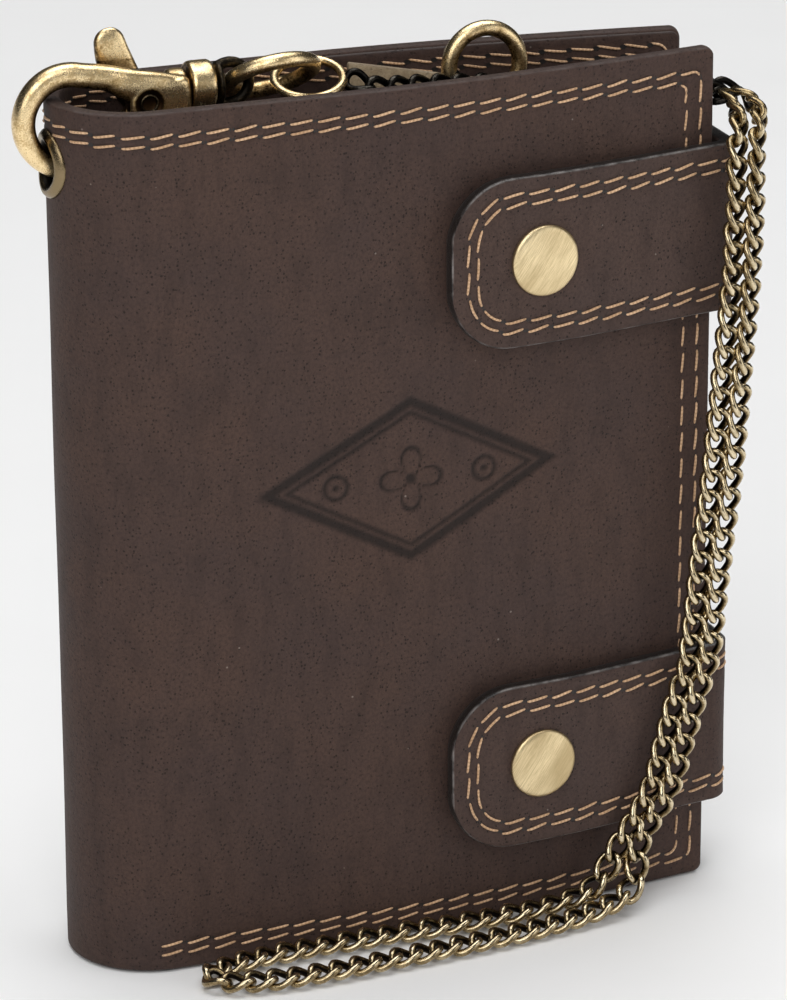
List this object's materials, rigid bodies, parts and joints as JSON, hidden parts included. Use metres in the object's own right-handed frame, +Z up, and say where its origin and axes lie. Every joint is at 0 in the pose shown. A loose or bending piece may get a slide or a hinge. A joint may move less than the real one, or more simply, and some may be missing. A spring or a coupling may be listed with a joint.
{
  "type": "chain wallet",
  "caption": "Tall bifold leather wallet with two snap straps round its fore-edge and a doubled curb chain on a swivel trigger snap through a spine eyelet.",
  "frame": {"origin": "on the back cover's bottom edge, halfway between the spine and the fore-edge, at the middle of its thickness", "axes": "+Z up along the height, -Y towards the front cover, -X towards the spine, +X towards the fore-edge"},
  "size_m": [0.1084, 0.0386, 0.1356],
  "materials": {
    "leather": "oiled nubuck, open grain",
    "strap_leather": "oiled nubuck with painted edges",
    "lining_leather": "matt suede side",
    "raw_leather": "undyed cut edge",
    "pale_brass": "brushed",
    "aged_brass": "antiqued, worn bright on the high spots",
    "dark_brass": "darkened"
  },
  "bodies": {
    "back": {"back_cover": "leather", "back_lining": "lining_leather", "note_pocket": "lining_leather", "document_pocket": "lining_leather", "note_divider": "raw_leather", "strap_upper_base": "strap_leather", "strap_lower_base": "strap_leather"},
    "spine_rear": {"spine_rear": "leather"},
    "spine_mid": {"spine_mid": "leather", "eyelet": "dark_brass", "eyelet_washer": "dark_brass"},
    "spine_front": {"spine_front": "leather"},
    "front": {"front_cover": "leather", "front_lining": "lining_leather", "card_slot_top": "lining_leather", "card_slot_middle": "lining_leather", "card_slot_bottom": "lining_leather", "snap_stud_upper": "dark_brass", "snap_post_upper": "dark_brass", "snap_stud_lower": "dark_brass", "snap_post_lower": "dark_brass"},
    "strap_upper_side": {"strap_upper_side": "strap_leather"},
    "strap_lower_side": {"strap_lower_side": "strap_leather"},
    "strap_upper_tab": {"strap_upper_tab": "strap_leather", "snap_cap_upper": "pale_brass", "snap_socket_upper": "dark_brass"},
    "strap_lower_tab": {"strap_lower_tab": "strap_leather", "snap_cap_lower": "pale_brass", "snap_socket_lower": "dark_brass"},
    "hook": {"hook_body": "aged_brass", "hook_rivet": "dark_brass"},
    "gate": {"hook_gate": "aged_brass"},
    "swivel": {"swivel": "aged_brass"},
    "ring_large": {"ring_large": "aged_brass"},
    "ring_small": {"ring_small": "aged_brass"},
    "chain_inner": {"chain_inner_a": "dark_brass", "chain_inner_b": "dark_brass", "start_link": "dark_brass", "end_link": "dark_brass"},
    "chain_fall": {"chain_fall_a": "aged_brass", "chain_fall_b": "aged_brass"},
    "chain_lower": {"chain_lower": "aged_brass"},
    "end_ring": {"end_ring": "aged_brass"}
  },
  "joints": [
    {"name": "cover_open", "type": "hinge", "parent": "back", "child": "spine_rear", "pos_m": [-0.04066, 0.00018, 0.0635], "axis": [0, 0, -1], "range_deg": [0, 45]},
    {"name": "spine_bend_b", "type": "hinge", "parent": "spine_rear", "child": "spine_mid", "pos_m": [-0.04718, -0.00634, 0.0635], "axis": [0, 0, -1], "range_deg": [0, 45]},
    {"name": "spine_bend_c", "type": "hinge", "parent": "spine_mid", "child": "spine_front", "pos_m": [-0.04718, -0.01556, 0.0635], "axis": [0, 0, -1], "range_deg": [0, 45]},
    {"name": "spine_bend_d", "type": "hinge", "parent": "spine_front", "child": "front", "pos_m": [-0.04066, -0.02208, 0.0635], "axis": [0, 0, -1], "range_deg": [0, 45]},
    {"name": "strap_upper_open", "type": "hinge", "parent": "back", "child": "strap_upper_side", "pos_m": [0.05042, -0.00273, 0.1008], "axis": [0, 0, 1], "range_deg": [0, 85]},
    {"name": "strap_upper_unfold", "type": "hinge", "parent": "strap_upper_side", "child": "strap_upper_tab", "pos_m": [0.05042, -0.01927, 0.1008], "axis": [0, 0, 1], "range_deg": [0, 85]},
    {"name": "strap_lower_open", "type": "hinge", "parent": "back", "child": "strap_lower_side", "pos_m": [0.05042, -0.00273, 0.0248], "axis": [0, 0, 1], "range_deg": [0, 85]},
    {"name": "strap_lower_unfold", "type": "hinge", "parent": "strap_lower_side", "child": "strap_lower_tab", "pos_m": [0.05042, -0.01927, 0.0248], "axis": [0, 0, 1], "range_deg": [0, 85]},
    {"name": "hook_lift", "type": "hinge", "parent": "spine_mid", "child": "hook", "pos_m": [-0.047, -0.01095, 0.118], "axis": [0, -1, 0], "range_deg": [0, 8]},
    {"name": "gate_press", "type": "hinge", "parent": "hook", "child": "gate", "pos_m": [-0.0344, -0.01095, 0.1259], "axis": [0, 1, 0], "range_deg": [0, 15]},
    {"name": "swivel_turn", "type": "hinge", "parent": "hook", "child": "swivel", "pos_m": [-0.0261, -0.01095, 0.1269], "axis": [1, 0, 0], "continuous": true},
    {"name": "ring_large_tilt", "type": "hinge", "parent": "swivel", "child": "ring_large", "pos_m": [-0.0219, -0.01095, 0.1269], "axis": [0, -1, 0], "range_deg": [0, 12]},
    {"name": "ring_small_tilt", "type": "hinge", "parent": "ring_large", "child": "ring_small", "pos_m": [-0.00973, -0.01095, 0.12775], "axis": [0, -1, 0], "range_deg": [0, 10]},
    {"name": "chain_yaw", "type": "hinge", "parent": "hook", "child": "chain_inner", "pos_m": [-0.01023, -0.01095, 0.1263], "axis": [0, 0, 1], "range_deg": [0, 90], "deforming": ["chain_inner_a", "chain_inner_b", "start_link", "end_link"]},
    {"name": "chain_swing", "type": "hinge", "parent": "chain_inner", "child": "chain_fall", "pos_m": [0.0509, -0.01495, 0.1192], "axis": [0, -1, 0], "range_deg": [0, 25], "deforming": ["chain_fall_a", "chain_fall_b"]},
    {"name": "chain_trail", "type": "hinge", "parent": "chain_fall", "child": "chain_lower", "pos_m": [0.0464, -0.02395, 0.0558], "axis": [0, 1, 0], "range_deg": [0, 25], "deforming": ["chain_lower"]},
    {"name": "end_ring_tilt", "type": "hinge", "parent": "chain_inner", "child": "end_ring", "pos_m": [0.0159, -0.01095, 0.1204], "axis": [-1, 0, 0], "range_deg": [0, 30]}
  ],
  "couplings": [
    {"joint": "spine_bend_b", "follows": "cover_open", "ratio": 1},
    {"joint": "spine_bend_c", "follows": "cover_open", "ratio": 1},
    {"joint": "spine_bend_d", "follows": "cover_open", "ratio": 1},
    {"joint": "strap_upper_unfold", "follows": "strap_upper_open", "ratio": 1},
    {"joint": "strap_lower_unfold", "follows": "strap_lower_open", "ratio": 1},
    {"joint": "chain_yaw", "follows": "cover_open", "ratio": 2},
    {"joint": "chain_trail", "follows": "chain_swing", "ratio": 1}
  ]
}
